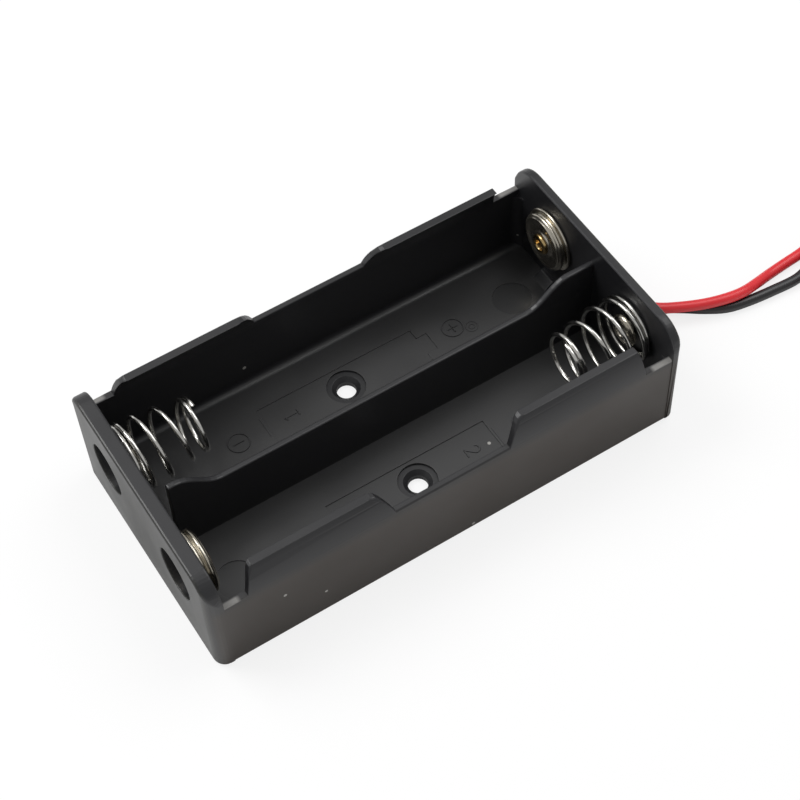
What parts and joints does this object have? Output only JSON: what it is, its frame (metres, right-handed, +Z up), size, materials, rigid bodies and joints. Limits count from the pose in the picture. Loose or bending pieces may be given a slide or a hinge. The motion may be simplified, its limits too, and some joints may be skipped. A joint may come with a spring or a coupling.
{
  "type": "cylindrical cell holder",
  "caption": "Open tray for cylindrical cells wired in series, with spring and button contacts, a divider, curled cell guides and a red and a black lead.",
  "frame": {"origin": "centre of the tray's footprint, on the plane that it stands on", "axes": "+X along the cells towards the lead end, +Y across the two bays, +Z up out of the open side"},
  "size_m": [0.1331, 0.0483, 0.02],
  "materials": {
    "tray_plastic": "satin moulded",
    "spring_wire": "nickel plated wire",
    "nickel_sheet": "nickel plated",
    "eyelet_brass": "bright",
    "solder": "bright solder",
    "red_insulation": "glossy",
    "black_insulation": "glossy",
    "tie_plastic": "moulded"
  },
  "bodies": {
    "tray": {"holder_body": "tray_plastic", "near_button": "nickel_sheet", "far_button": "nickel_sheet", "near_spring_eyelet": "nickel_sheet", "far_spring_eyelet": "nickel_sheet", "near_button_eyelet": "eyelet_brass", "far_button_eyelet": "eyelet_brass", "series_link": "nickel_sheet", "positive_tag": "nickel_sheet", "negative_tag": "nickel_sheet", "positive_solder": "solder", "negative_solder": "solder", "red_lead": "red_insulation", "black_lead": "black_insulation", "red_lead_coil": "red_insulation", "black_lead_coil": "black_insulation", "red_tinned_end": "solder", "black_tinned_end": "solder", "lead_tie": "tie_plastic"},
    "near_spring": {"near_spring": "spring_wire"},
    "far_spring": {"far_spring": "spring_wire"}
  },
  "joints": [
    {"name": "near_spring_press", "type": "slide", "parent": "tray", "child": "near_spring", "axis": [1, 0, 0], "range_m": [0, 0.0075], "stiffness_N_per_m": 300, "deforming": ["near_spring"]},
    {"name": "far_spring_press", "type": "slide", "parent": "tray", "child": "far_spring", "axis": [-1, 0, 0], "range_m": [0, 0.0075], "stiffness_N_per_m": 300, "deforming": ["far_spring"]}
  ]
}
